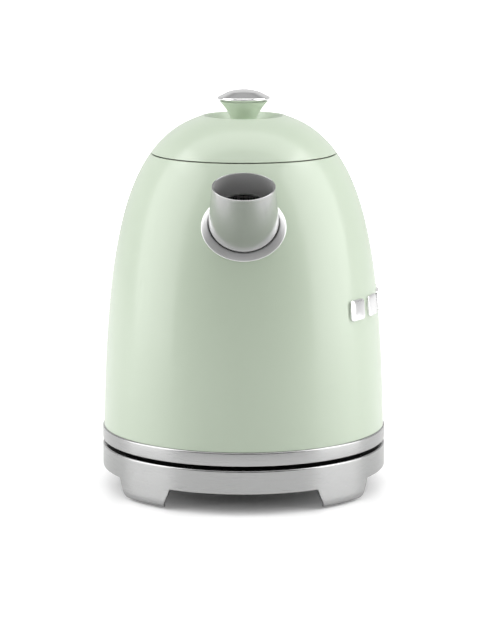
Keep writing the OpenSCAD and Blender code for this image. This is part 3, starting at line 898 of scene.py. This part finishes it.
class KETTLE_OT_stage(KettleOperator, bpy.types.Operator):
    """Pale floor, soft studio light and the camera"""

    bl_idname = "kettle.stage"
    bl_label = "Stage"

    def light(self, name, place, aim, size, power):
        data = bpy.data.lights.new(name, "AREA")
        data.shape = "RECTANGLE"
        data.size, data.size_y = size
        data.energy = power
        lamp = bpy.data.objects.new(name, data)
        bpy.context.scene.collection.objects.link(lamp)
        direction = np.asarray(aim, float) - np.asarray(place, float)
        lamp.location = place
        lamp.rotation_euler = (math.atan2(math.hypot(direction[0], direction[1]), -direction[2]), 0.0,
                               math.atan2(direction[1], direction[0]) - math.pi / 2)

    def build(self, context):
        scene = context.scene
        stage = scene.kettle_stage
        scene.view_settings.view_transform = "Standard"
        floor_mesh = bpy.data.meshes.new("floor")
        half = 14.0
        corners = [(-half, -half, 0), (half, -half, 0), (half, half, 0), (-half, half, 0)]
        floor_mesh.from_pydata(corners, [], [(0, 1, 2, 3)])
        floor = bpy.data.objects.new("floor", floor_mesh)
        scene.collection.objects.link(floor)

        def pale(nodes):
            """White floor that glows away from the kettle, so that it meets the backdrop unseen.

            Only three tenths of that light falls on the kettle. The glow is painted light: it is nil under
            the kettle and rises through the steps near the base, which paint how the shadow round and under
            the base fades.
            """
            distance = nodes.add("VectorMath", {"operation": "LENGTH"}, {0: nodes.place()}, "Value")
            # painted light: the glow's steps near the base set how the shadow round and under the skirt fades
            # into the white floor
            glow = nodes.add("ValToRGB", {"stops": [
                (0.0, 0.0), (0.05, 0.01), (0.065, 0.08), (0.078, 0.2), (0.1, 0.24), (0.2, 0.25), (0.4, 0.28),
                (0.8, 0.65), (1.0, 1.0)]}, {"Fac": distance})
            seen = nodes.add("LightPath", output="Is Camera Ray")
            return nodes.add("BsdfPrincipled", None, {
                "Base Color": (0.9, 0.9, 0.9, 1.0), "Roughness": 0.35,
                "Emission Color": glow * (seen * 0.7 + 0.3), "Emission Strength": 1.0})

        floor_mesh.materials.append(finish_of("pale_floor_painted_glow", pale))

        world = bpy.data.worlds.new("studio")
        scene.world = world
        world.use_nodes = True
        world.node_tree.nodes.clear()
        nodes = Nodes(world.node_tree)
        direction = nodes.add("TexCoord", output="Generated")
        towards_front = nodes.add("SeparateXYZ", None, {0: direction}, "Y") * -1.0
        upward = nodes.add("SeparateXYZ", None, {0: direction}, "Z")
        front_stops = [(0.0, 0.8), (0.2, 0.7), (0.45, 0.42), (0.7, 0.16), (1.0, 0.07)]
        front = nodes.add("ValToRGB", {"stops": front_stops}, {"Fac": towards_front * 0.5 + 0.5})
        ceiling_stops = [(0.0, 1.0), (0.5, 1.0), (0.66, 0.55), (0.8, 0.7), (1.0, 0.8)]
        ceiling = nodes.add("ValToRGB", {"stops": ceiling_stops}, {"Fac": upward})
        surround = nodes.add("Background", None, {"Color": front * ceiling, "Strength": stage.sky})
        backdrop = nodes.add("Background", None, {"Color": (1.0, 1.0, 1.0, 1.0), "Strength": 1.0})
        seen = nodes.add("LightPath", output="Is Camera Ray")
        mixed = nodes.add("MixShader", None, {0: seen, 1: surround, 2: backdrop})
        output = world.node_tree.nodes.new("ShaderNodeOutputWorld")
        world.node_tree.links.new(mixed.socket, output.inputs["Surface"])

        for name, side in (("left", -1), ("right", 1)):
            self.light(name + "_softbox", (1.1 * side, -0.15, 0.62), (0, 0, 0.12), (1.1, 1.4),
                       (1 + 0.05 * side) * stage.side_power)
            self.light(name + "_overhead", (0.75 * side, 0.15, 1.45), (0.75 * side, 0.15, 0), (0.76, 1.7),
                       0.97 * stage.top_power)
        self.light("front_fill", (0, -0.8, 1.5), (0, 0, 0.15), (1.6, 0.9), 0.65 * stage.top_power)

        camera_data = bpy.data.cameras.new("camera")
        camera_data.sensor_width = 36.0
        camera_data.lens = 156.6
        camera_data.shift_x = 0.0021
        camera = bpy.data.objects.new("camera", camera_data)
        camera.location = (0.0, -1.5992, 0.3887)
        camera.rotation_euler = (math.radians(80.0), 0.0, 0.0)
        scene.collection.objects.link(camera)
        scene.camera = camera


BUILD_ORDER = (
    KETTLE_OT_stage, KETTLE_OT_fittings, KETTLE_OT_shell, KETTLE_OT_rings, KETTLE_OT_spout, KETTLE_OT_bars,
    KETTLE_OT_lid, KETTLE_OT_knob, KETTLE_OT_handle, KETTLE_OT_switch, KETTLE_OT_base)


class KETTLE_PT_panel(bpy.types.Panel):
    """Sidebar list of the kettle's settings and pieces"""

    bl_idname = "KETTLE_PT_panel"
    bl_label = "Kettle"
    bl_space_type = "VIEW_3D"
    bl_region_type = "UI"
    bl_category = "Kettle"

    def draw(self, context):
        for group in (context.scene.kettle_sizes, context.scene.kettle_colours, context.scene.kettle_stage):
            box = self.layout.box()
            for name in group.__annotations__:
                box.prop(group, name)
        for operator in BUILD_ORDER:
            self.layout.operator(operator.bl_idname)


CLASSES = (KettleSizes, KettleColours, KettleStage, *BUILD_ORDER, KETTLE_PT_panel)


def register():
    for cls in CLASSES:
        bpy.utils.register_class(cls)
    bpy.types.Scene.kettle_sizes = PointerProperty(type=KettleSizes)
    bpy.types.Scene.kettle_colours = PointerProperty(type=KettleColours)
    bpy.types.Scene.kettle_stage = PointerProperty(type=KettleStage)


def unregister():
    del bpy.types.Scene.kettle_stage
    del bpy.types.Scene.kettle_colours
    del bpy.types.Scene.kettle_sizes
    for cls in reversed(CLASSES):
        bpy.utils.unregister_class(cls)


def main():
    register()
    for operator in BUILD_ORDER:
        group, name = operator.bl_idname.split(".")
        getattr(getattr(bpy.ops, group), name)()


if __name__ == "__main__":
    main()
